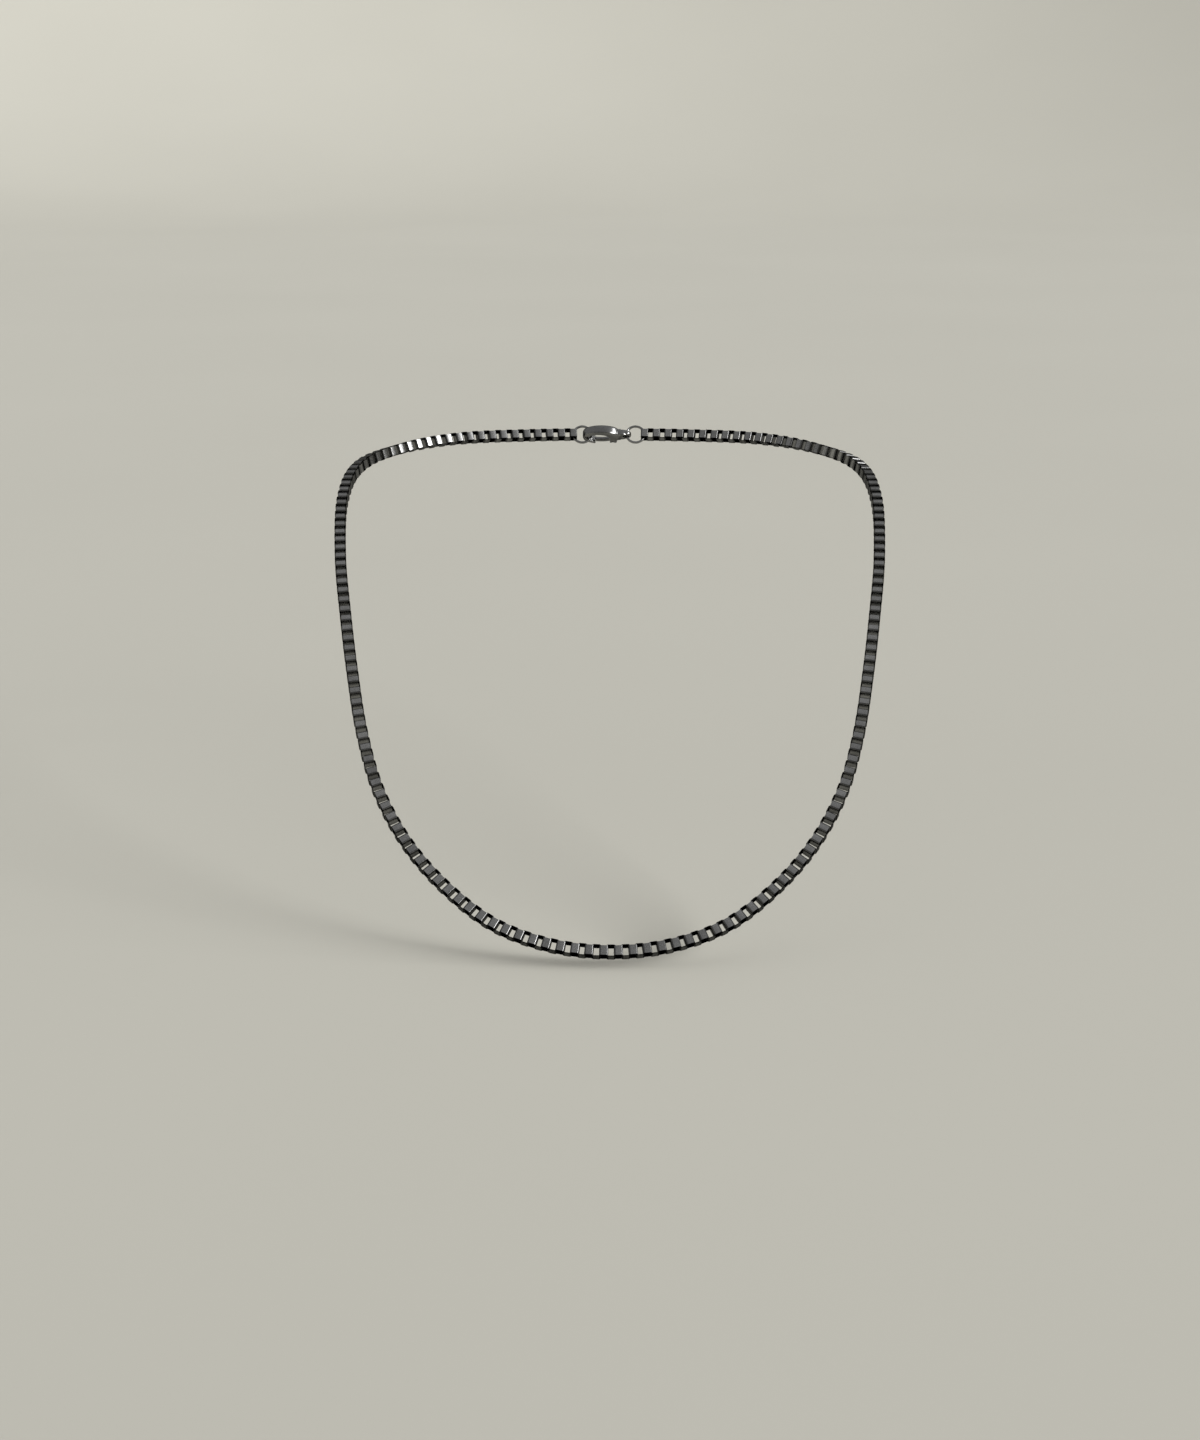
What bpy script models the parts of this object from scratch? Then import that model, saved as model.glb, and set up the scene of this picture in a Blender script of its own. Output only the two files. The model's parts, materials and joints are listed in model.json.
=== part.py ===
"""A box chain necklace with a lobster clasp, lying in the loop it takes round a neck.

The origin is the middle of the neck, level with the nape. +Z is up and the front faces -Y.
"""

import math

import bmesh
import bpy
from mathutils import Matrix, Vector
from mathutils.geometry import interpolate_bezier

MM = 0.001

# Box link: a flat strip bent into a rectangular loop
LINK_LENGTH = 1.79 * MM
LINK_WIDTH = 2.5 * MM
STRIP_THICKNESS = 0.18 * MM
LINK_SIDE_PLAY = 0.07 * MM
LINK_BITE = 0.04 * MM
STRIP_WIDTH = LINK_WIDTH - 2 * STRIP_THICKNESS - 2 * LINK_SIDE_PLAY

# Chain: links pulled tight into runs, with a free pivot from each run to the next
RUNS_A_SIDE = 26
FRONT_RUN_LINKS = 7
PIVOT_PLAY = 0.1 * MM
TIGHT_PITCH = LINK_LENGTH - 2 * STRIP_THICKNESS + LINK_BITE
PIVOT_PITCH = LINK_LENGTH - 2 * STRIP_THICKNESS - PIVOT_PLAY

# Loop: how wide the chain's line is, how far it reaches before and behind the neck, and its drop
LOOP_WIDTH = 122.4 * MM
LOOP_FRONT = 89 * MM
LOOP_BACK = 53.3 * MM
LOOP_DROP = 83 * MM
# Half of the line, from the front centre round the side to the nape, as shares of those sizes
ROUTE = [
    (0, -1, -1),
    (0.196, -0.989, -0.988),
    (0.381, -0.958, -0.948),
    (0.539, -0.907, -0.876),
    (0.676, -0.833, -0.787),
    (0.781, -0.738, -0.682),
    (0.848, -0.629, -0.566),
    (0.895, -0.499, -0.447),
    (0.938, -0.345, -0.328),
    (0.98, -0.157, -0.208),
    (1, 0.113, -0.096),
    (0.961, 0.42, -0.036),
    (0.825, 0.675, -0.012),
    (0.605, 0.867, 0),
    (0.31, 0.974, 0),
    (0, 1, 0),
]
ROUTE_STEPS = 24
# The shoulders fall away to front and back like a barrel of this radius
SHOULDER_RADIUS = 75 * MM

# Lobster clasp: a flat claw with a sprung lever on a rivet, measured from the hook's end
BOWL_LENGTH = 9.2 * MM
CLASP_WIDTH = 6 * MM
CLASP_THICKNESS = 2.6 * MM
CLASP_EDGE = 0.25 * MM
HOOK_BAND = 1.2 * MM
HOOK_CATCH = 1.7 * MM
SPINE_BAND = 1.2 * MM
OPENING_LENGTH = 5.4 * MM
NECK_LENGTH = 0.2 * MM
EYE_RIM = 0.6 * MM
EYE_PLAY = 0.4 * MM
EYE_THICKNESS = 1.3 * MM
LEVER_BAND = 1.0 * MM
LEVER_THICKNESS = 0.8 * MM
LEVER_END_PLAY = 0.15 * MM
THUMB_HEIGHT = 1.2 * MM
THUMB_LENGTH = 1.4 * MM
RIVET_RADIUS = 0.35 * MM
RIVET_PLAY = 0.05 * MM
RIVET_INSET = 1.5 * MM
RIVET_SIDE = 1.2 * MM
HUB_WALL = 0.4 * MM
SPRING_WIRE = 0.12 * MM
SPRING_PLAY = 0.05 * MM
SPRING_TURNS = 1.5
SPRING_PITCH = 0.18 * MM
SPRING_LEG = 0.8 * MM

# Rings that join the two chain ends to the clasp
RING_WIRE = 0.6 * MM
RING_SLACK = 0.6 * MM
RING_PLAY = 0.1 * MM
RING_INNER_RADIUS = max(CLASP_THICKNESS, STRIP_WIDTH) / 2 + RING_SLACK

# Facets of a ring, its wire, a round hole and one turn of the spring
RING_SEGMENTS = 20
WIRE_SEGMENTS = 6
ROUND_SEGMENTS = 16
TURN_POINTS = 12


def clear_scene():
    for item in list(bpy.data.objects):
        bpy.data.objects.remove(item, do_unlink=True)


def collection(name):
    group = bpy.data.collections.new(name)
    bpy.context.scene.collection.children.link(group)
    return group


def metal(name, colour, roughness):
    material = bpy.data.materials.new(name)
    material.use_nodes = True
    shader = material.node_tree.nodes["Principled BSDF"]
    shader.inputs["Base Color"].default_value = (*colour, 1)
    shader.inputs["Metallic"].default_value = 1
    shader.inputs["Roughness"].default_value = roughness
    return material


def add_object(name, data, group, material=None):
    item = bpy.data.objects.new(name, data)
    group.objects.link(item)
    if material:
        data.materials.append(material)
    return item


def evaluated_mesh(item, name):
    """The object's mesh with its modifiers, its caps welded on."""
    bpy.context.view_layer.update()
    graph = bpy.context.evaluated_depsgraph_get()
    mesh = bpy.data.meshes.new_from_object(item.evaluated_get(graph))
    mesh.name = name
    work = bmesh.new()
    work.from_mesh(mesh)
    bmesh.ops.remove_doubles(work, verts=work.verts, dist=LINK_BITE / 1000)
    work.to_mesh(mesh)
    work.free()
    return mesh


def boolean(item, tool, operation):
    modifier = item.modifiers.new(tool.name, "BOOLEAN")
    modifier.operation = operation
    modifier.object = tool
    modifier.solver = "EXACT"
    tool.hide_render = True
    tool.display_type = "WIRE"


def flat_mesh(name, outlines, thickness, edge=0):
    """A flat outline, with any holes as further outlines, given its thickness and a chamfered edge."""
    data = bpy.data.curves.new(name, "CURVE")
    data.dimensions = "2D"
    data.fill_mode = "BOTH"
    data.extrude = thickness / 2 - edge
    data.bevel_depth = edge
    data.bevel_resolution = 0
    data.offset = -edge
    for points in outlines:
        spline = data.splines.new("POLY")
        spline.points.add(len(points) - 1)
        for target, (x, y) in zip(spline.points, points):
            target.co = (x, y, 0, 1)
        spline.use_cyclic_u = True
    curve = add_object(name, data, TOOLS)
    mesh = evaluated_mesh(curve, name)
    bpy.data.objects.remove(curve)
    return mesh


def rectangle(length, width):
    x, y = length / 2, width / 2
    return [(-x, -y), (x, -y), (x, y), (-x, y)]


def ellipse(centre, half_length, half_width, start, end, steps):
    """Points on an ellipse in the flat, from one angle to another in degrees."""
    turns = [math.radians(start + (end - start) * i / steps) for i in range(steps + 1)]
    return [(centre[0] + half_length * math.cos(t), centre[1] + half_width * math.sin(t)) for t in turns]


def circle(centre, radius):
    full = 360 * (1 - 1 / ROUND_SEGMENTS)
    return ellipse(centre, radius, radius, 0, full, ROUND_SEGMENTS - 1)


def route():
    """Closely spaced points along half of the loop, with the arc length at each."""
    points = []
    for x, y, z in ROUTE:
        reach = LOOP_BACK if y > 0 else LOOP_FRONT
        points.append(Vector((x * LOOP_WIDTH / 2, y * reach, z * LOOP_DROP)))
    before = Vector((-points[1].x, points[1].y, points[1].z))
    after = Vector((-points[-2].x, points[-2].y, points[-2].z))
    knots = [before, *points, after]
    path = []
    for a, b, c, d in zip(knots, knots[1:], knots[2:], knots[3:]):
        path += interpolate_bezier(b, b + (c - a) / 6, c - (d - b) / 6, c, ROUTE_STEPS)[:-1]
    path.append(points[-1])
    arcs = [0.0]
    for a, b in zip(path, path[1:]):
        arcs.append(arcs[-1] + (b - a).length)
    return path, arcs


PATH, ARCS = route()


def frame_at(arc, side):
    """Where the chain is: x along it to the nape, y across it, z away from the wearer."""
    i = next(k for k, a in enumerate(ARCS[1:], 1) if a >= arc or k == len(ARCS) - 1)
    share = (arc - ARCS[i - 1]) / (ARCS[i] - ARCS[i - 1])
    point = PATH[i - 1].lerp(PATH[i], share)
    before, after = PATH[max(i - 2, 0)], PATH[min(i + 1, len(PATH) - 1)]
    along = (after - before).normalized()
    if arc <= 0:
        along = Vector((1, 0, 0))
    point.x *= side
    along.x *= side
    away = Vector((0, point.y, SHOULDER_RADIUS))
    away = (away - along * away.dot(along)).normalized()
    across = away.cross(along)
    frame = Matrix((along, across, away)).transposed().to_4x4()
    frame.translation = point
    return frame


def link_mesh():
    """One box link, its loop in the plane of the chain's length and width."""
    outer = rectangle(LINK_LENGTH, LINK_WIDTH)
    inner = rectangle(LINK_LENGTH - 2 * STRIP_THICKNESS, LINK_WIDTH - 2 * STRIP_THICKNESS)
    return flat_mesh("link", [outer, inner], STRIP_WIDTH)


def run_of_links(name, frames, pivot):
    """One run: each link is turned a quarter against the last and bears on its end bar."""
    origin = Matrix.Translation(-pivot)
    links = []
    for number, frame in frames:
        quarter = Matrix.Rotation(math.radians(90 * (number % 2)), 4, "X")
        mesh = LINK.copy()
        mesh.transform(origin @ frame @ quarter)
        links.append(add_object(f"{name}_link_{number}", mesh, TOOLS))
    for other in links[1:]:
        boolean(links[0], other, "UNION")
    run = add_object(name, evaluated_mesh(links[0], name), PARTS, GUNMETAL)
    run.location = pivot
    for link in links:
        bpy.data.objects.remove(link)
    return run


def pivot_point(arc, side):
    """The inner edge where the end bars of two runs roll on each other."""
    frame = frame_at(arc, side)
    return frame.translation - frame.col[2].to_3d() * STRIP_WIDTH / 2


def chord(radius, half_width):
    return math.sqrt(radius**2 - half_width**2)


# Places along the clasp, and the room its lever and spring need
EYE_HOLE = RING_WIRE / 2 + EYE_PLAY
EYE_RADIUS = EYE_HOLE + EYE_RIM
CLASP_LENGTH = BOWL_LENGTH + NECK_LENGTH + 2 * EYE_RADIUS
BOWL_CENTRE = (BOWL_LENGTH / 2, 0)
EYE_CENTRE = (CLASP_LENGTH - EYE_RADIUS, 0)
HOOK_TIP = HOOK_BAND + HOOK_CATCH
RIVET_PLACE = (BOWL_LENGTH - RIVET_INSET, RIVET_SIDE)
LEVER_PIVOT = (*RIVET_PLACE, 0)
GATE_RADIUS = RIVET_PLACE[0] - HOOK_TIP
HUB_RADIUS = RIVET_RADIUS + RIVET_PLAY + HUB_WALL
SPRING_HEIGHT = SPRING_WIRE + SPRING_TURNS * SPRING_PITCH
SLOT_HALF = LEVER_THICKNESS / 2 + SPRING_HEIGHT + 2 * SPRING_PLAY

# Clasp and rings in line across the nape: what each ring holds lies a chord from its centre
LINK_SEAT = chord(RING_INNER_RADIUS, STRIP_WIDTH / 2) - RING_PLAY
HOOK_SEAT = chord(RING_INNER_RADIUS, CLASP_THICKNESS / 2) - RING_PLAY
EYE_SEAT = chord(RING_INNER_RADIUS, EYE_THICKNESS / 2) - RING_PLAY
RING_OFFSET = LINK_LENGTH / 2 - STRIP_THICKNESS + LINK_SEAT
RING_PLACE = (CLASP_LENGTH - HOOK_BAND - EYE_RIM + HOOK_SEAT + EYE_SEAT) / 2
CLASP_REACH = RING_PLACE + RING_OFFSET


def links_a_side(room):
    """How many links fit beside the front run, so that the last one lies as the first."""
    count = int(room / PIVOT_PITCH)
    while (count + FRONT_RUN_LINKS // 2) % 2 or chain_length(count) > room:
        count -= 1
    return count


def chain_length(count):
    return (count - RUNS_A_SIDE) * TIGHT_PITCH + RUNS_A_SIDE * PIVOT_PITCH


def chain():
    """The front run, then runs up both sides until the chain ends at the clasp's rings."""
    front_half = FRONT_RUN_LINKS // 2
    front_arc = front_half * TIGHT_PITCH
    room = ARCS[-1] - CLASP_REACH - front_arc
    count = links_a_side(room)
    loose_pitch = PIVOT_PITCH + (room - chain_length(count)) / RUNS_A_SIDE

    frames = [(n, frame_at(n * TIGHT_PITCH, -1)) for n in range(front_half, 0, -1)]
    frames += [(n, frame_at(n * TIGHT_PITCH, 1)) for n in range(front_half + 1)]
    run_of_links("chain_front", frames, pivot_point(front_arc + loose_pitch / 2, -1))

    for side, label in ((-1, "left"), (1, "right")):
        number = front_half
        arc = front_arc
        for run in range(1, RUNS_A_SIDE + 1):
            links = count * run // RUNS_A_SIDE - count * (run - 1) // RUNS_A_SIDE
            frames = []
            for step in range(links):
                number += 1
                arc += TIGHT_PITCH if step else loose_pitch
                frames.append((number, frame_at(arc, side)))
            run_of_links(f"chain_{label}_{run:02d}", frames, pivot_point(arc + loose_pitch / 2, side))


def box_tool(name, low, high):
    """A block between two corners, in the clasp's own flat."""
    low, high = Vector(low), Vector(high)
    mesh = bpy.data.meshes.new(name)
    work = bmesh.new()
    bmesh.ops.create_cube(work, size=1)
    work.to_mesh(mesh)
    work.free()
    place = Matrix.Translation((low + high) / 2) @ Matrix.Diagonal((*(high - low), 1))
    mesh.transform(place)
    return add_object(name, mesh, TOOLS)


def rod_mesh(name, radius, length):
    """A round bar through the rivet's place."""
    mesh = bpy.data.meshes.new(name)
    work = bmesh.new()
    bmesh.ops.create_cone(
        work, cap_ends=True, segments=ROUND_SEGMENTS, radius1=radius, radius2=radius, depth=length
    )
    work.to_mesh(mesh)
    work.free()
    mesh.transform(Matrix.Translation((*RIVET_PLACE, 0)))
    return mesh


def finish_clasp_piece(name, source, material, pivot):
    """Puts a piece made in the clasp's flat at the nape, its origin on the point it turns about."""
    mesh = evaluated_mesh(source, name)
    mesh.transform(Matrix.Translation(-Vector(pivot)))
    mesh.shade_smooth()
    mesh.set_sharp_from_angle(angle=math.radians(35))
    piece = add_object(name, mesh, PARTS, material)
    piece.matrix_world = CLASP_PLACE @ Matrix.Translation(pivot)
    bpy.data.objects.remove(source)
    return piece


def clasp_body():
    """The claw: a bowl drawn out to an eye, its side cut away for the lever and slotted for its hub."""
    outline = ellipse(BOWL_CENTRE, BOWL_LENGTH / 2, CLASP_WIDTH / 2, 35, 325, 20)
    outline += ellipse(EYE_CENTRE, EYE_RADIUS, EYE_RADIUS, -75, 75, 8)
    opening_centre = (HOOK_BAND + OPENING_LENGTH / 2, 0)
    opening_half = CLASP_WIDTH / 2 - SPINE_BAND
    opening = ellipse(opening_centre, OPENING_LENGTH / 2, opening_half, 0, 345, 15)
    eye = circle(EYE_CENTRE, EYE_HOLE)
    mesh = flat_mesh("claw", [outline, opening, eye], CLASP_THICKNESS, CLASP_EDGE)
    claw = add_object("claw", mesh, TOOLS)
    clear = CLASP_WIDTH
    hub_room = HUB_RADIUS + LEVER_END_PLAY
    gate_end = RIVET_PLACE[0] - hub_room
    slot_end = RIVET_PLACE[0] + hub_room
    floor = RIVET_PLACE[1] - hub_room
    eye_start = CLASP_LENGTH - 2 * EYE_RADIUS
    gate = ellipse(RIVET_PLACE, GATE_RADIUS, GATE_RADIUS, 195, 110, 10)
    gate += [(gate_end, gate[-1][1]), (gate_end, gate[0][1])]
    tools = [
        add_object("gate", flat_mesh("gate", [gate], 2 * clear), TOOLS),
        box_tool("slot", (gate_end - HUB_RADIUS, floor, -SLOT_HALF), (slot_end, clear, SLOT_HALF)),
        box_tool("eye_top", (eye_start, -clear, EYE_THICKNESS / 2), (CLASP_LENGTH + clear, clear, clear)),
        box_tool("eye_base", (eye_start, -clear, -clear), (CLASP_LENGTH + clear, clear, -EYE_THICKNESS / 2)),
        add_object("rivet_hole", rod_mesh("rivet_hole", RIVET_RADIUS + RIVET_PLAY, 2 * clear), TOOLS),
    ]
    for tool in tools:
        boolean(claw, tool, "DIFFERENCE")
    finish_clasp_piece("clasp_body", claw, GUNMETAL_BRIGHT, (0, 0, 0))
    for tool in tools:
        bpy.data.objects.remove(tool)


def bowl_angle(half_length, half_width, distance):
    """The angle on an ellipse about the bowl's centre where it is this far from the rivet."""
    low, high = 90, 180
    while high - low > 0.01:
        middle = (low + high) / 2
        point = ellipse(BOWL_CENTRE, half_length, half_width, middle, middle, 1)[0]
        if math.dist(point, RIVET_PLACE) < distance:
            low = middle
        else:
            high = middle
    return low


def clasp_lever():
    """The lever: a hub on the rivet, an arm that closes the hook and a thumb piece."""
    half_length, half_width = BOWL_LENGTH / 2, CLASP_WIDTH / 2
    inner_length, inner_width = half_length - LEVER_BAND, half_width - LEVER_BAND
    tip_radius = GATE_RADIUS - LEVER_END_PLAY
    root = RIVET_PLACE[0] - HUB_RADIUS - BOWL_CENTRE[0]
    tip = bowl_angle(half_length, half_width, tip_radius)
    foot_angle = math.degrees(math.acos(root / half_length))
    outer = ellipse(BOWL_CENTRE, half_length, half_width, tip, foot_angle, 7)
    foot = Vector(outer[-1])
    thumb = [
        foot + Vector((THUMB_LENGTH * 0.3, THUMB_HEIGHT * 0.7)),
        foot + Vector((THUMB_LENGTH, THUMB_HEIGHT)),
        foot + Vector((THUMB_LENGTH * 1.15, THUMB_HEIGHT * 0.6)),
        foot + Vector((THUMB_LENGTH * 0.85, -THUMB_HEIGHT * 0.2)),
    ]
    hub = ellipse(RIVET_PLACE, HUB_RADIUS, HUB_RADIUS, 20, -160, 8)
    inner_tip = bowl_angle(inner_length, inner_width, tip_radius)
    inner_root = math.degrees(math.acos((root - LEVER_BAND / 2) / inner_length))
    inner = ellipse(BOWL_CENTRE, inner_length, inner_width, inner_root, inner_tip, 6)
    outline = outer + [tuple(p) for p in thumb] + hub + inner
    bore = circle(RIVET_PLACE, RIVET_RADIUS + RIVET_PLAY)
    lever = add_object("lever", flat_mesh("lever", [outline, bore], LEVER_THICKNESS), TOOLS)
    finish_clasp_piece("clasp_lever", lever, GUNMETAL_BRIGHT, LEVER_PIVOT)


def clasp_rivet():
    rod = add_object("rivet", rod_mesh("rivet", RIVET_RADIUS, CLASP_THICKNESS), TOOLS)
    finish_clasp_piece("clasp_rivet", rod, GUNMETAL_BRIGHT, LEVER_PIVOT)


def clasp_spring():
    """A torsion spring round the rivet, beside the lever, its two legs towards the hook."""
    radius = RIVET_RADIUS + RIVET_PLAY + SPRING_PLAY + SPRING_WIRE / 2
    base = LEVER_THICKNESS / 2 + SPRING_PLAY + SPRING_WIRE / 2
    steps = round(SPRING_TURNS * TURN_POINTS)
    coil = []
    for i in range(steps + 1):
        turn = i / TURN_POINTS
        angle = math.radians(270) + 2 * math.pi * turn
        coil.append(Vector((radius * math.cos(angle), radius * math.sin(angle), base + SPRING_PITCH * turn)))
    leg = Vector((-SPRING_LEG, 0, 0))
    points = [coil[0] + leg, *coil, coil[-1] + leg]
    data = bpy.data.curves.new("spring", "CURVE")
    data.dimensions = "3D"
    data.bevel_depth = SPRING_WIRE / 2
    data.bevel_resolution = 1
    data.use_fill_caps = True
    spline = data.splines.new("POLY")
    spline.points.add(len(points) - 1)
    for target, point in zip(spline.points, points):
        target.co = (*(point + Vector(LEVER_PIVOT)), 1)
    spring = add_object("spring", data, TOOLS)
    finish_clasp_piece("clasp_spring", spring, SPRING_STEEL, LEVER_PIVOT)


def ring(name, along):
    """A round wire ring, upright in the line of the chain, its centre so far along the nape."""
    bpy.ops.mesh.primitive_torus_add(
        major_segments=RING_SEGMENTS,
        minor_segments=WIRE_SEGMENTS,
        major_radius=RING_INNER_RADIUS + RING_WIRE / 2,
        minor_radius=RING_WIRE / 2,
    )
    item = bpy.context.active_object
    for group in list(item.users_collection):
        group.objects.unlink(item)
    PARTS.objects.link(item)
    item.name = name
    item.data.materials.append(GUNMETAL_BRIGHT)
    item.data.shade_smooth()
    upright = Matrix.Rotation(math.radians(90), 4, "X")
    item.matrix_world = NAPE @ Matrix.Translation((along, 0, 0)) @ upright


def nape_frame():
    """Across the nape: x to the wearer's left, z away from the neck."""
    end = frame_at(ARCS[-1], 1)
    away = end.col[2].to_3d()
    across = Vector((1, 0, 0))
    frame = Matrix((across, away.cross(across), away)).transposed().to_4x4()
    frame.translation = end.translation
    return frame


clear_scene()
PARTS = collection("box_chain_necklace")
TOOLS = collection("tools")
GUNMETAL = metal("gunmetal_satin", (0.075, 0.072, 0.072), 0.38)
GUNMETAL_BRIGHT = metal("gunmetal_polished", (0.085, 0.082, 0.082), 0.25)
SPRING_STEEL = metal("spring_steel", (0.45, 0.45, 0.47), 0.3)

LINK = link_mesh()
chain()

NAPE = nape_frame()
CLASP_PLACE = NAPE @ Matrix.Translation((HOOK_SEAT - HOOK_BAND - RING_PLACE, 0, 0))
ring("catch_ring", -RING_PLACE)
ring("clasp_ring", RING_PLACE)
clasp_body()
clasp_lever()
clasp_rivet()
clasp_spring()
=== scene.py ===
import json
import math

import bpy
from mathutils import Matrix, Vector
from mathutils.geometry import interpolate_bezier


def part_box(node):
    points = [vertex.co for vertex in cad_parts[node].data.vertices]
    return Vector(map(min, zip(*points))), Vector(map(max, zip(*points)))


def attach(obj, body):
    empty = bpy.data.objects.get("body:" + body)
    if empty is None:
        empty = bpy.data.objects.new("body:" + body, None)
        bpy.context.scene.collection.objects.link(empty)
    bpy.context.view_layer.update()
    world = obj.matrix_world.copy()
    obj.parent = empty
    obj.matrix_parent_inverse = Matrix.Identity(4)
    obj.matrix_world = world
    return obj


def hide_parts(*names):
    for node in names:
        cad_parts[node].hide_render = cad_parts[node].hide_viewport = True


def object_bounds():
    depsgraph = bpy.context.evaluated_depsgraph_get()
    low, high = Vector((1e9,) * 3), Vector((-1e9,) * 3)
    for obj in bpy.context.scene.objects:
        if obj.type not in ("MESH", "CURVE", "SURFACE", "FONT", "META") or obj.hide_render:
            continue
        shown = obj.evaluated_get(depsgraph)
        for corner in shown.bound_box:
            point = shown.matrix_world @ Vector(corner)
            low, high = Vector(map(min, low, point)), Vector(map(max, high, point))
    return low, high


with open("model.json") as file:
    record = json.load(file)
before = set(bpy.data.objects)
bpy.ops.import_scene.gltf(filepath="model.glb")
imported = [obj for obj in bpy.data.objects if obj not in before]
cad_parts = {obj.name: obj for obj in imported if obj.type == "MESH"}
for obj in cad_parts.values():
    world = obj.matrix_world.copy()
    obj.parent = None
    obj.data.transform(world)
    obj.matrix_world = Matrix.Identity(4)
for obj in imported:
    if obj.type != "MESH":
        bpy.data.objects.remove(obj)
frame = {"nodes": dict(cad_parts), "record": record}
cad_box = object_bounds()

# Box link: flat steel strip bent round a square mandrel into a rectangle, closed behind the next link's bar.
# The bends are rounded, the cut edges stay square, and plating in dark gunmetal covers all of it.
MM = 0.001
LINK_LENGTH = 1.79 * MM
LINK_WIDTH = 2.5 * MM
STRIP_THICKNESS = 0.18 * MM
LINK_SIDE_PLAY = 0.07 * MM
LINK_BITE = 0.04 * MM
STRIP_WIDTH = LINK_WIDTH - 2 * STRIP_THICKNESS - 2 * LINK_SIDE_PLAY
BEND_RADIUS = 0.34 * MM
BEND_STEPS = 3
SHARP_FROM = math.radians(35)
FACING_FROM = 0.5
OUTWARD_FROM = 0.3
# How much of the plate grey the bends get: less than the plates, as painted shade on the bends.
BEND_SHADED_SHARE = 0.45


def only_selected(item):
    """Makes this the one selected and active object."""
    bpy.ops.object.select_all(action="DESELECT")
    item.select_set(True)
    bpy.context.view_layer.objects.active = item


def apply_modifier(item, kind, **settings):
    """Adds a modifier with these settings and applies it."""
    only_selected(item)
    modifier = item.modifiers.new(kind.lower(), kind)
    for name, value in settings.items():
        setattr(modifier, name, value)
    bpy.ops.object.modifier_apply(modifier=modifier.name)


bpy.ops.object.select_all(action="DESELECT")
bpy.ops.mesh.primitive_cube_add(size=1, scale=(LINK_LENGTH, LINK_WIDTH, STRIP_WIDTH))
link = bpy.context.active_object
bpy.ops.object.transform_apply(scale=True)
bpy.ops.object.mode_set(mode="EDIT")
bpy.ops.mesh.select_mode(type="FACE")
bpy.ops.mesh.select_all(action="DESELECT")
bpy.ops.object.mode_set(mode="OBJECT")
for face in link.data.polygons:
    face.select = abs(face.normal.z) > FACING_FROM
bpy.ops.object.mode_set(mode="EDIT")
bpy.ops.mesh.delete(type="ONLY_FACE")
bpy.ops.mesh.select_mode(type="EDGE")
bpy.ops.mesh.select_all(action="DESELECT")
bpy.ops.object.mode_set(mode="OBJECT")
for edge in link.data.edges:
    ends = [link.data.vertices[v].co for v in edge.vertices]
    edge.select = abs(ends[0].z - ends[1].z) > STRIP_WIDTH / 2
bpy.ops.object.mode_set(mode="EDIT")
bpy.ops.mesh.bevel(offset=BEND_RADIUS, segments=BEND_STEPS, affect="EDGES")
bpy.ops.object.mode_set(mode="OBJECT")
apply_modifier(link, "SOLIDIFY", thickness=STRIP_THICKNESS - LINK_BITE / 2, offset=-1, use_even_offset=True)
bpy.ops.object.shade_smooth_by_angle(angle=SHARP_FROM)


def mark_rub_and_shade(mesh, share_of):
    """Marks each face from 0, the plating's full black, to 1, its clear grey; the black also stands for
    painted shade.
    """
    marks = mesh.attributes.new("rubbed_and_shaded", "FLOAT", "FACE")
    for face in mesh.polygons:
        marks.data[face.index].value = share_of(face)


def link_rub_and_shade(face):
    """Flat outer plates are worn grey; bends get a little under half the grey, painted shade on the bends;
    faces not facing outwards, the hollows and the cut edges, get the full black, which paints the shade in the
    hollows.
    """
    middle = Vector((face.center.x, face.center.y, 0))
    # Faces that do not face outwards get the full black: painted shade in the hollows.
    if face.normal.dot(middle.normalized()) < OUTWARD_FROM:
        return 0
    on_bend = abs(middle.x) > LINK_LENGTH / 2 - BEND_RADIUS and abs(middle.y) > LINK_WIDTH / 2 - BEND_RADIUS
    # Bends get only part of the grey: painted shade on the bends.
    return BEND_SHADED_SHARE if on_bend else 1


mark_rub_and_shade(link.data, link_rub_and_shade)

# Gunmetal plate: black nickel over steel, tumbled so that what stands proud is worn back to grey.
# The eye sees satin mid-grey plates with a fine grain and black cut edges; the black of the hollows and the
# dark of the glossy bends are painted shade.
# The full black, for the plating and for the painted shade in the hollows and on the bends.
PLATE_BLACK_AND_SHADE = "#0b0b0b"
PLATE_DEEP = "#727271"
PLATE_CLEAR = "#949493"
PLATE_GRAZING = "#747474"
GRAIN_MM = 0.22
GRAIN_DETAIL = 3
GRAIN_DEPTH_MM = 0.0025
CLOUD_MM = 6
CLOUD_DETAIL = 2
TONE_RANGE = (0.7, 1.3)
LINK_ROUGHNESS = (0.18, 0.34)


def linear(code):
    """An sRGB hex colour as linear red, green, blue and alpha."""
    shares = [int(code[i : i + 2], 16) / 255 for i in (1, 3, 5)]
    return (*[s / 12.92 if s <= 0.04045 else ((s + 0.055) / 1.055) ** 2.4 for s in shares], 1)


def add_node(tree, kind, sockets, **options):
    """Adds a node with these options; each socket gets a value or another node's output."""
    node = tree.nodes.new(kind)
    for name, value in options.items():
        setattr(node, name, value)
    for name, value in sockets.items():
        if isinstance(value, bpy.types.NodeSocket):
            tree.links.new(value, node.inputs[name])
        else:
            node.inputs[name].default_value = value
    return node


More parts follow.
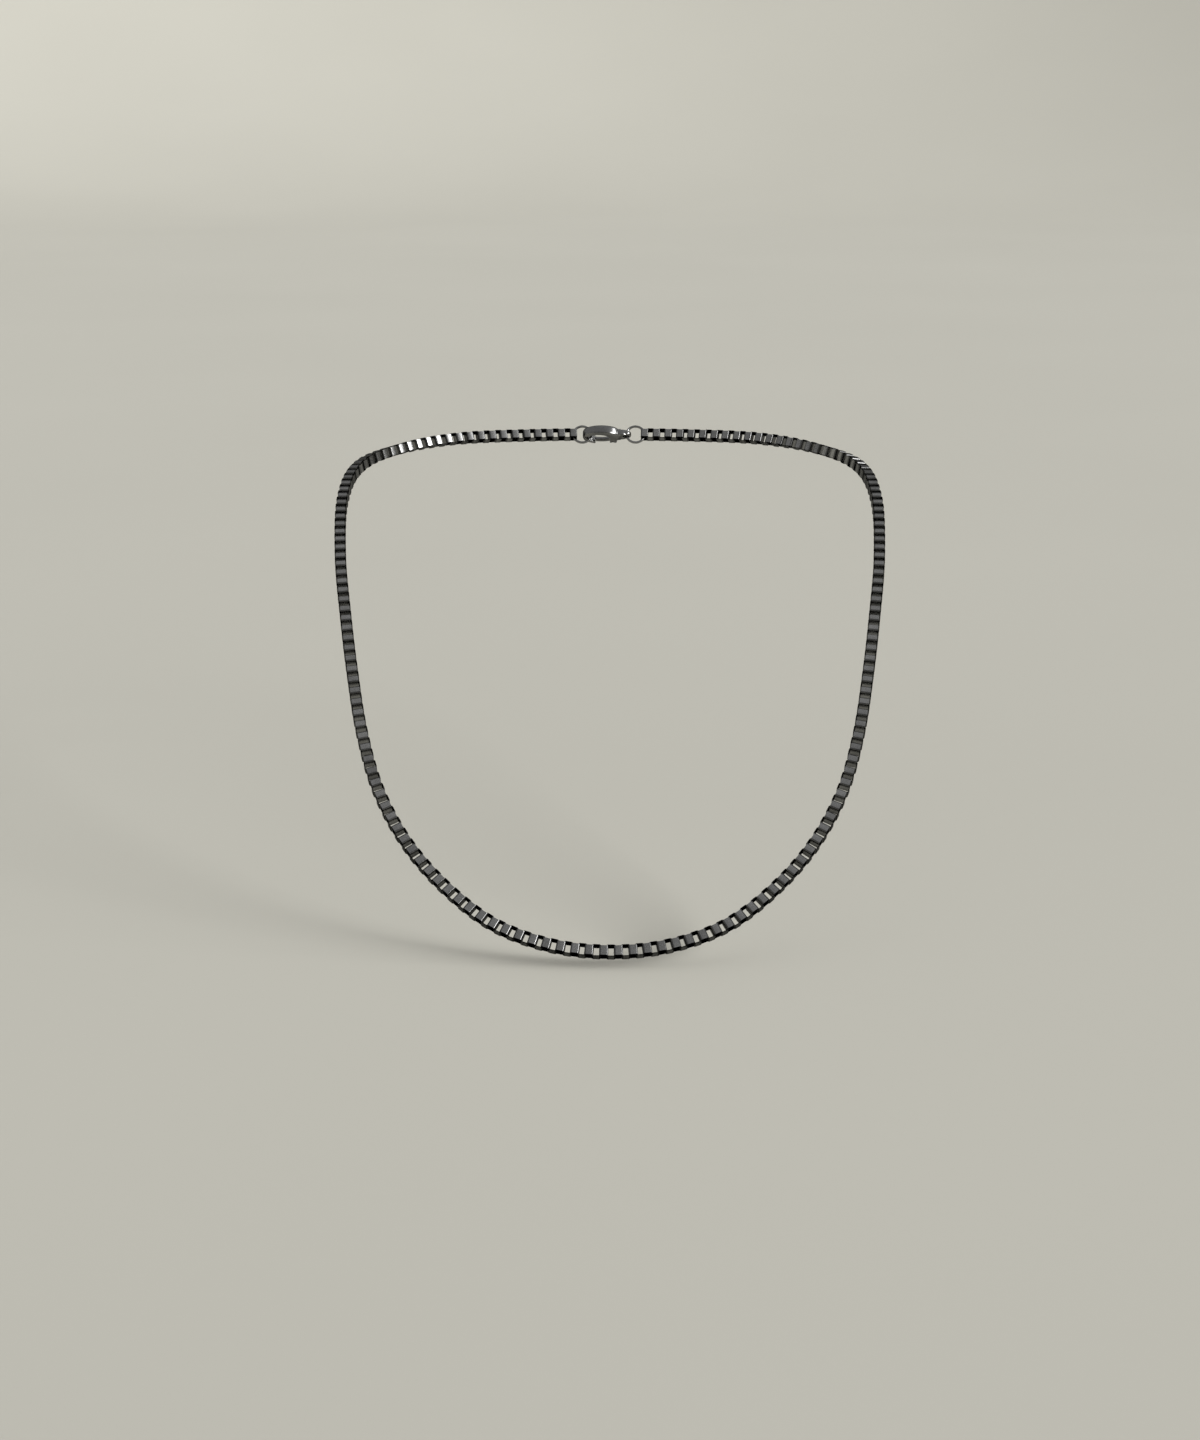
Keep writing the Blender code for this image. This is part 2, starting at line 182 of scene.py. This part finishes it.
def gunmetal(name, smoothest, roughest):
    """Gunmetal plating, with its roughness from the smoothest to the roughest of its grain."""
    material = bpy.data.materials.new(name)
    material.use_nodes = True
    tree = material.node_tree
    shader = tree.nodes["Principled BSDF"]
    shader.inputs["Metallic"].default_value = 1
    shader.inputs["Specular Tint"].default_value = linear(PLATE_GRAZING)
    place = add_node(tree, "ShaderNodeTexCoord", {}).outputs["Object"]
    grain = add_node(
        tree, "ShaderNodeTexNoise", {"Vector": place, "Scale": 1 / (GRAIN_MM * MM), "Detail": GRAIN_DETAIL}
    ).outputs["Fac"]
    cloud = add_node(
        tree, "ShaderNodeTexNoise", {"Vector": place, "Scale": 1 / (CLOUD_MM * MM), "Detail": CLOUD_DETAIL}
    ).outputs["Fac"]
    both = add_node(tree, "ShaderNodeMath", {0: grain, 1: cloud}, operation="ADD").outputs["Value"]
    tone = add_node(
        tree, "ShaderNodeMapRange", {"Value": both, "From Min": TONE_RANGE[0], "From Max": TONE_RANGE[1]}
    )
    plate = add_node(
        tree,
        "ShaderNodeMix",
        {0: tone.outputs["Result"], 6: linear(PLATE_DEEP), 7: linear(PLATE_CLEAR)},
        data_type="RGBA",
    )
    # Mixes from the full black, which paints the shade in the hollows and on the bends, to the plate grey.
    rubbed_and_shaded = add_node(tree, "ShaderNodeAttribute", {}, attribute_name="rubbed_and_shaded").outputs["Fac"]
    colour = add_node(
        tree, "ShaderNodeMix", {0: rubbed_and_shaded, 6: linear(PLATE_BLACK_AND_SHADE), 7: plate.outputs[2]}, data_type="RGBA"
    )
    tree.links.new(colour.outputs[2], shader.inputs["Base Color"])
    rough = add_node(tree, "ShaderNodeMapRange", {"Value": grain, "To Min": smoothest, "To Max": roughest})
    tree.links.new(rough.outputs["Result"], shader.inputs["Roughness"])
    bump = add_node(tree, "ShaderNodeBump", {"Height": grain, "Distance": GRAIN_DEPTH_MM * MM, "Strength": 1})
    tree.links.new(bump.outputs["Normal"], shader.inputs["Normal"])
    return material


link.data.materials.append(gunmetal("satin_gunmetal", *LINK_ROUGHNESS))

# The chain's line: half of the loop from the front centre round the side to the nape, the other half its
# mirror image. Links are threaded along it in runs pulled tight, with a free pivot from run to run.
LOOP_WIDTH = 122.4 * MM
LOOP_FRONT = 89 * MM
LOOP_BACK = 53.3 * MM
LOOP_DROP = 83 * MM
ROUTE = [
    (0, -1, -1),
    (0.196, -0.989, -0.988),
    (0.381, -0.958, -0.948),
    (0.539, -0.907, -0.876),
    (0.676, -0.833, -0.787),
    (0.781, -0.738, -0.682),
    (0.848, -0.629, -0.566),
    (0.895, -0.499, -0.447),
    (0.938, -0.345, -0.328),
    (0.98, -0.157, -0.208),
    (1, 0.113, -0.096),
    (0.961, 0.42, -0.036),
    (0.825, 0.675, -0.012),
    (0.605, 0.867, 0),
    (0.31, 0.974, 0),
    (0, 1, 0),
]
ROUTE_STEPS = 24
ROUTE_EASE = 6
SHOULDER_RADIUS = 75 * MM
RUNS_A_SIDE = 26
FRONT_HALF = 3
LINKS_A_SIDE = 157
RING_INNER_RADIUS = 1.9 * MM
RING_PLAY = 0.1 * MM

points = []
for x, y, z in ROUTE:
    reach = LOOP_BACK if y > 0 else LOOP_FRONT
    points.append(Vector((x * LOOP_WIDTH / 2, y * reach, z * LOOP_DROP)))
mirror = Vector((-1, 1, 1))
knots = [points[1] * mirror, *points, points[-2] * mirror]
path = []
for a, b, c, d in zip(knots, knots[1:], knots[2:], knots[3:]):
    path += interpolate_bezier(b, b + (c - a) / ROUTE_EASE, c - (d - b) / ROUTE_EASE, c, ROUTE_STEPS)[:-1]
path.append(points[-1])
arcs = [0.0]
for a, b in zip(path, path[1:]):
    arcs.append(arcs[-1] + (b - a).length)


def chain_frame(arc, side):
    """The chain's place so far round: x along it to the nape, y across it, z outwards."""
    i = next(k for k, a in enumerate(arcs[1:], 1) if a >= arc or k == len(arcs) - 1)
    point = path[i - 1].lerp(path[i], (arc - arcs[i - 1]) / (arcs[i] - arcs[i - 1]))
    along = (path[min(i + 1, len(path) - 1)] - path[max(i - 2, 0)]).normalized()
    if arc <= 0:
        along = Vector((1, 0, 0))
    point.x *= side
    along.x *= side
    away = Vector((0, point.y, SHOULDER_RADIUS))
    away = (away - along * away.dot(along)).normalized()
    place = Matrix((along, away.cross(along), away)).transposed().to_4x4()
    place.translation = point
    return place


body_of = {}
for body, nodes in frame["record"]["behaviour"]["bodies"].items():
    for node in nodes:
        body_of[node] = body


def stands_for(piece, node):
    """The piece replaces this solid and moves with its body."""
    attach(piece, body_of[node])
    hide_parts(node)


def thread_run(name, node, places):
    """Copies the link along one run, every second one turned a quarter, and joins the copies."""
    copies = []
    for number, place in places:
        mesh = link.data.copy()
        mesh.transform(place @ Matrix.Rotation(math.radians(90 * (number % 2)), 4, "X"))
        copy = bpy.data.objects.new(name, mesh)
        bpy.context.scene.collection.objects.link(copy)
        copies.append(copy)
    only_selected(copies[0])
    for copy in copies:
        copy.select_set(True)
    bpy.ops.object.join()
    copies[0].name = name
    stands_for(copies[0], node)


tight_pitch = LINK_LENGTH - 2 * STRIP_THICKNESS + LINK_BITE
ring_low, ring_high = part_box("clasp_ring")
ring_place = (ring_low[0] + ring_high[0]) / 2
link_seat = math.sqrt(RING_INNER_RADIUS**2 - (STRIP_WIDTH / 2) ** 2) - RING_PLAY
chain_end = arcs[-1] - ring_place - (LINK_LENGTH / 2 - STRIP_THICKNESS + link_seat)
front_arc = FRONT_HALF * tight_pitch
loose_pitch = (chain_end - front_arc - (LINKS_A_SIDE - RUNS_A_SIDE) * tight_pitch) / RUNS_A_SIDE

front = [(n, chain_frame(n * tight_pitch, -1)) for n in range(FRONT_HALF, 0, -1)]
front += [(n, chain_frame(n * tight_pitch, 1)) for n in range(FRONT_HALF + 1)]
thread_run("links_front", "chain_front", front)
for side, label in ((-1, "left"), (1, "right")):
    arc = front_arc
    number = FRONT_HALF
    for run in range(1, RUNS_A_SIDE + 1):
        places = []
        links = LINKS_A_SIDE * run // RUNS_A_SIDE - LINKS_A_SIDE * (run - 1) // RUNS_A_SIDE
        for step in range(links):
            number += 1
            arc += tight_pitch if step else loose_pitch
            places.append((number, chain_frame(arc, side)))
        thread_run(f"links_{label}_{run:02d}", f"chain_{label}_{run:02d}", places)
bpy.data.objects.remove(link)

# Rings: half-hard round wire wound on a rod and cut, one on each end of the chain. The ends of the wire
# meet at a hairline slit, and the polished plating runs over it.
RING_WIRE = 0.6 * MM
RING_SLIT = math.radians(1.5)
RING_STEPS = 56
RING_ROUGHNESS = (0.14, 0.26)
WIRE_SIDES = 14

end = chain_frame(arcs[-1], 1)
nape_away = end.col[2].to_3d()
nape_across = Vector((1, 0, 0))
nape = Matrix((nape_across, nape_away.cross(nape_across), nape_away)).transposed().to_4x4()
nape.translation = end.translation
polished = gunmetal("polished_gunmetal", *RING_ROUGHNESS)

for name, along in (("catch_ring", -ring_place), ("clasp_ring", ring_place)):
    bpy.ops.object.select_all(action="DESELECT")
    bpy.ops.mesh.primitive_circle_add(
        vertices=WIRE_SIDES,
        radius=RING_WIRE / 2,
        fill_type="NGON",
        location=(RING_INNER_RADIUS + RING_WIRE / 2, 0, 0),
        rotation=(math.radians(90), 0, 0),
    )
    ring = bpy.context.active_object
    bpy.ops.object.transform_apply(location=True, rotation=True)
    bpy.ops.object.mode_set(mode="EDIT")
    bpy.ops.mesh.select_all(action="SELECT")
    bpy.ops.mesh.spin(steps=RING_STEPS, angle=2 * math.pi - RING_SLIT, center=(0, 0, 0), axis=(0, 0, 1))
    bpy.ops.mesh.select_all(action="SELECT")
    bpy.ops.mesh.normals_make_consistent(inside=False)
    bpy.ops.object.mode_set(mode="OBJECT")
    upright = Matrix.Rotation(math.radians(90), 4, "X")
    ring.data.transform(nape @ Matrix.Translation((along, 0, 0)) @ upright)
    bpy.ops.object.shade_smooth_by_angle(angle=SHARP_FROM)
    ring.name = f"{name}_wire"
    ring.data.materials.append(polished)
    mark_rub_and_shade(ring.data, lambda face: 1)
    stands_for(ring, name)

# Lever and rivet of the clasp: the lever is stamped from sheet and the rivet peened over both cheeks, and
# both are tumbled and polished before plating, so that their edges are softened all round.
EDGE_MM = {"clasp_lever": 0.1, "clasp_rivet": 0.12}
EDGE_STEPS = 2
EDGE_FACE = 0.05 * MM**2
EDGE_RUB = {True: 1, False: 0.85}
MERGE_WITHIN = 0.002 * MM
FLAT_WITHIN = math.radians(1)
EDGE_FROM = math.radians(32)


def join_up(piece):
    """Merges points that lie together, and faces that lie flat."""
    only_selected(piece)
    bpy.ops.object.mode_set(mode="EDIT")
    bpy.ops.mesh.select_all(action="SELECT")
    bpy.ops.mesh.remove_doubles(threshold=MERGE_WITHIN)
    bpy.ops.mesh.dissolve_limited(angle_limit=FLAT_WITHIN)
    bpy.ops.object.mode_set(mode="OBJECT")


def copy_of(node):
    """A copy of this solid, with its faces joined up."""
    piece = bpy.data.objects.new(f"{node}_polished", frame["nodes"][node].data.copy())
    bpy.context.scene.collection.objects.link(piece)
    join_up(piece)
    return piece


def polish(piece, node):
    """Shades the piece, plates it, and rubs its rounded edges brighter than its faces."""
    only_selected(piece)
    bpy.ops.object.shade_smooth_by_angle(angle=SHARP_FROM)
    apply_modifier(piece, "WEIGHTED_NORMAL", keep_sharp=True)
    piece.data.materials.clear()
    piece.data.materials.append(polished)
    mark_rub_and_shade(piece.data, lambda face: EDGE_RUB[face.area < EDGE_FACE])
    stands_for(piece, node)


for node, edge in EDGE_MM.items():
    piece = copy_of(node)
    apply_modifier(
        piece, "BEVEL", width=edge * MM, segments=EDGE_STEPS, limit_method="ANGLE", angle_limit=EDGE_FROM
    )
    polish(piece, node)

# Claw of the clasp: cast with its eye, and tumbled until its outside is round and its openings are flared.
# Its slot, gate and bore are cut after casting and stay crisp.
BOWL_LENGTH = 9.2 * MM
CLASP_WIDTH = 6 * MM
CLASP_THICKNESS = 2.6 * MM
HOOK_BAND = 1.2 * MM
SPINE_BAND = 1.2 * MM
OPENING_LENGTH = 5.4 * MM
NECK_LENGTH = 0.2 * MM
NECK_HALF = (2.1 * MM, 1.5 * MM, 1.0 * MM)
EYE_RIM = 0.6 * MM
EYE_PLAY = 0.4 * MM
EYE_THICKNESS = 1.3 * MM
CAST_SHRINK = 0.99
CAST_SIDES = 64
CAST_STEPS = 5
BOWL_ROUND = 0.7 * MM
NECK_ROUND = 0.6 * MM
EYE_ROUND = 0.4 * MM
OPENING_FLARE = 0.5 * MM
EYE_FLARE = 0.2 * MM
REAM = 0.02 * MM

eye_hole = RING_WIRE / 2 + EYE_PLAY
eye_radius = eye_hole + EYE_RIM
eye_place = BOWL_LENGTH + NECK_LENGTH + eye_radius
hook_seat = math.sqrt(RING_INNER_RADIUS**2 - (CLASP_THICKNESS / 2) ** 2) - RING_PLAY
clasp_place = nape @ Matrix.Translation((hook_seat - HOOK_BAND - ring_place, 0, 0))


def oval(place, half):
    """A flat oval block in the clasp's own flat, so far from the hook's end."""
    bpy.ops.object.select_all(action="DESELECT")
    bpy.ops.mesh.primitive_cylinder_add(
        vertices=CAST_SIDES, radius=1, depth=2, location=(place, 0, 0), scale=half
    )
    block = bpy.context.active_object
    bpy.ops.object.transform_apply(location=True, scale=True)
    return block


def rounded(place, half, rounding):
    """An oval block with both rims rounded over."""
    block = oval(place, half)
    bpy.ops.object.mode_set(mode="EDIT")
    bpy.ops.mesh.select_mode(type="EDGE")
    bpy.ops.mesh.select_all(action="DESELECT")
    bpy.ops.object.mode_set(mode="OBJECT")
    for edge in block.data.edges:
        low, high = (block.data.vertices[v].co.z for v in edge.vertices)
        edge.select = abs(low - high) < half[2]
    bpy.ops.object.mode_set(mode="EDIT")
    bpy.ops.mesh.bevel(offset=rounding, segments=CAST_STEPS, affect="EDGES")
    bpy.ops.object.mode_set(mode="OBJECT")
    return block


def flared(place, half, flare):
    """An oval block that widens at both ends, to ream a hole with rounded lips."""
    block = oval(place, (half[0], half[1], half[2] + REAM - flare))
    for end in (1, -1):
        bpy.ops.object.mode_set(mode="EDIT")
        bpy.ops.mesh.select_mode(type="FACE")
        bpy.ops.mesh.select_all(action="DESELECT")
        bpy.ops.object.mode_set(mode="OBJECT")
        for face in block.data.polygons:
            face.select = face.center.z * end > half[2] - flare
        bpy.ops.object.mode_set(mode="EDIT")
        out, up = 0, 0
        for step in range(1, CAST_STEPS + 1):
            turn = math.radians(90 * step / CAST_STEPS)
            wider, higher = flare * (1 - math.cos(turn)), flare * math.sin(turn)
            bpy.ops.mesh.extrude_region_move(TRANSFORM_OT_translate={"value": (0, 0, end * (higher - up))})
            grow = [(size + wider) / (size + out) for size in half[:2]]
            bpy.ops.transform.resize(value=(*grow, 1))
            out, up = wider, higher
        bpy.ops.object.mode_set(mode="OBJECT")
    return block


def combine(piece, tool, operation):
    """Joins the tool to the piece, keeps what they share or cuts it away, and uses the tool up."""
    apply_modifier(piece, "BOOLEAN", operation=operation, object=tool, solver="EXACT")
    bpy.data.objects.remove(tool)


bowl_half = (BOWL_LENGTH / 2 * CAST_SHRINK, CLASP_WIDTH / 2 * CAST_SHRINK, CLASP_THICKNESS / 2 - REAM)
eye_half = (eye_radius * CAST_SHRINK, eye_radius * CAST_SHRINK, EYE_THICKNESS / 2 - REAM)
casting = rounded(BOWL_LENGTH / 2, bowl_half, BOWL_ROUND)
combine(casting, rounded((BOWL_LENGTH + eye_place) / 2 - eye_radius / 2, NECK_HALF, NECK_ROUND), "UNION")
combine(casting, rounded(eye_place, eye_half, EYE_ROUND), "UNION")
opening_half = (OPENING_LENGTH / 2 + REAM, CLASP_WIDTH / 2 - SPINE_BAND + REAM, CLASP_THICKNESS / 2)
combine(casting, flared(HOOK_BAND + OPENING_LENGTH / 2, opening_half, OPENING_FLARE), "DIFFERENCE")
bore_half = (eye_hole + REAM, eye_hole + REAM, EYE_THICKNESS / 2)
combine(casting, flared(eye_place, bore_half, EYE_FLARE), "DIFFERENCE")
casting.data.transform(clasp_place)
claw = copy_of("clasp_body")
combine(claw, casting, "INTERSECT")
join_up(claw)
polish(claw, "clasp_body")

# Torsion spring: hard-drawn steel wire coiled round the rivet beside the lever, its legs on the claw and
# on the lever. It stays bright, with die marks along the wire.
WIRE_BRIGHT = "#d2d3d6"
WIRE_DULL = "#a9abae"
DIE_MARK_MM = 0.05
WIRE_ROUGHNESS = (0.2, 0.4)

spring_wire = bpy.data.materials.new("drawn_spring_wire")
spring_wire.use_nodes = True
tree = spring_wire.node_tree
shader = tree.nodes["Principled BSDF"]
shader.inputs["Metallic"].default_value = 1
place = add_node(tree, "ShaderNodeTexCoord", {}).outputs["Object"]
marks = add_node(
    tree, "ShaderNodeTexNoise", {"Vector": place, "Scale": 1 / (DIE_MARK_MM * MM)}
).outputs["Fac"]
colour = add_node(
    tree, "ShaderNodeMix", {0: marks, 6: linear(WIRE_DULL), 7: linear(WIRE_BRIGHT)}, data_type="RGBA"
)
tree.links.new(colour.outputs[2], shader.inputs["Base Color"])
rough = add_node(
    tree, "ShaderNodeMapRange", {"Value": marks, "To Min": WIRE_ROUGHNESS[0], "To Max": WIRE_ROUGHNESS[1]}
)
tree.links.new(rough.outputs["Result"], shader.inputs["Roughness"])
spring = frame["nodes"]["clasp_spring"]
spring.data.materials.clear()
spring.data.materials.append(spring_wire)

# Floor: a plain pale sheet just under the lowest link, matt, with a faint unevenness in its tone. Far out
# it curves up all round into a low cove, so that no edge shows behind the chain.
FLOOR_PALE = "#bab8ae"
FLOOR_SHADE = "#b5b3a9"
FLOOR_ROUGHNESS = 0.9
FLOOR_RADIUS = 2.4
COVE_RADIUS = 1.2
COVE_STEPS = 12
COVE_TURN = math.radians(75)
FLOOR_SIDES = 96
FLOOR_GAP = 1.5 * MM
FLOOR_CLOUD_MM = 300

bpy.ops.object.select_all(action="DESELECT")
bpy.ops.mesh.primitive_circle_add(
    vertices=FLOOR_SIDES, radius=FLOOR_RADIUS, fill_type="NGON", location=(0, 0, cad_box[0][2] - FLOOR_GAP)
)
floor = bpy.context.active_object
bpy.ops.object.mode_set(mode="EDIT")
bpy.ops.mesh.select_mode(type="EDGE")
bpy.ops.mesh.select_all(action="SELECT")
reach = FLOOR_RADIUS
for step in range(COVE_STEPS):
    start, turn = (COVE_TURN * (step + i) / COVE_STEPS for i in (0, 1))
    wider = reach + COVE_RADIUS * (math.sin(turn) - math.sin(start))
    rise = COVE_RADIUS * (math.cos(start) - math.cos(turn))
    bpy.ops.mesh.extrude_edges_move(TRANSFORM_OT_translate={"value": (0, 0, rise)})
    bpy.ops.transform.resize(value=(wider / reach, wider / reach, 1))
    reach = wider
bpy.ops.object.mode_set(mode="OBJECT")
bpy.ops.object.shade_smooth_by_angle(angle=SHARP_FROM)
floor.name = "floor"
floor_matt = bpy.data.materials.new("matt_floor")
floor_matt.use_nodes = True
tree = floor_matt.node_tree
shader = tree.nodes["Principled BSDF"]
shader.inputs["Roughness"].default_value = FLOOR_ROUGHNESS
place = add_node(tree, "ShaderNodeTexCoord", {}).outputs["Object"]
cloud = add_node(
    tree, "ShaderNodeTexNoise", {"Vector": place, "Scale": 1 / (FLOOR_CLOUD_MM * MM)}
).outputs["Fac"]
colour = add_node(
    tree, "ShaderNodeMix", {0: cloud, 6: linear(FLOOR_SHADE), 7: linear(FLOOR_PALE)}, data_type="RGBA"
)
tree.links.new(colour.outputs[2], shader.inputs["Base Color"])
floor.data.materials.append(floor_matt)

# Light: a soft room, brightest overhead and behind and darkest low in front, and three broad soft lamps in a
# row that rises along the right, whose reflections fill the right-hand bends along the front. The lamps are so
# far off that the floor is lit evenly, at about its own colour.
ROOM_BRIGHTEST = Vector((0.2, 0.45, 0.87)).normalized()
ROOM_STRENGTH = (0.1, 0.6)
LAMP_SPREAD = math.radians(24)
LAMPS = {
    "low_lamp": {"towards": (0.78, -0.52, 0.36), "strength": 2.0},
    "middle_lamp": {"towards": (0.8, -0.36, 0.47), "strength": 1.4},
    "high_lamp": {"towards": (0.852, -0.063, 0.514), "strength": 0.8},
}

scene = bpy.context.scene
world = bpy.data.worlds.new("soft_room")
world.use_nodes = True
tree = world.node_tree
background = tree.nodes["Background"]
background.inputs["Color"].default_value = (1, 1, 1, 1)
direction = add_node(tree, "ShaderNodeTexCoord", {}).outputs["Generated"]
nearness = add_node(tree, "ShaderNodeVectorMath", {0: direction, 1: ROOM_BRIGHTEST}, operation="DOT_PRODUCT")
strength = add_node(
    tree,
    "ShaderNodeMapRange",
    {
        "Value": nearness.outputs["Value"],
        "From Min": -1,
        "To Min": ROOM_STRENGTH[0],
        "To Max": ROOM_STRENGTH[1],
    },
)
tree.links.new(strength.outputs["Result"], background.inputs["Strength"])
scene.world = world
for name, settings in LAMPS.items():
    lamp = bpy.data.lights.new(name, "SUN")
    lamp.angle = LAMP_SPREAD
    lamp.energy = settings["strength"]
    holder = bpy.data.objects.new(name, lamp)
    holder.rotation_euler = Vector(settings["towards"]).to_track_quat("Z", "Y").to_euler()
    scene.collection.objects.link(holder)

# Camera: in front of the chain and higher than all of it, looking down by fifteen degrees, with a lens that
# frames the loop at the width the photograph gives it.
CAMERA_PLACE = (-2.2 * MM, -548 * MM, 88 * MM)
LOOK_DOWN = 15
LENS_MM = 61
SENSOR_MM = 36

camera = bpy.data.objects.new("camera", bpy.data.cameras.new("camera"))
camera.data.lens = LENS_MM
camera.data.sensor_width = SENSOR_MM
camera.location = CAMERA_PLACE
camera.rotation_euler = (math.radians(90 - LOOK_DOWN), 0, 0)
scene.collection.objects.link(camera)
scene.camera = camera
scene.view_settings.view_transform = "Standard"
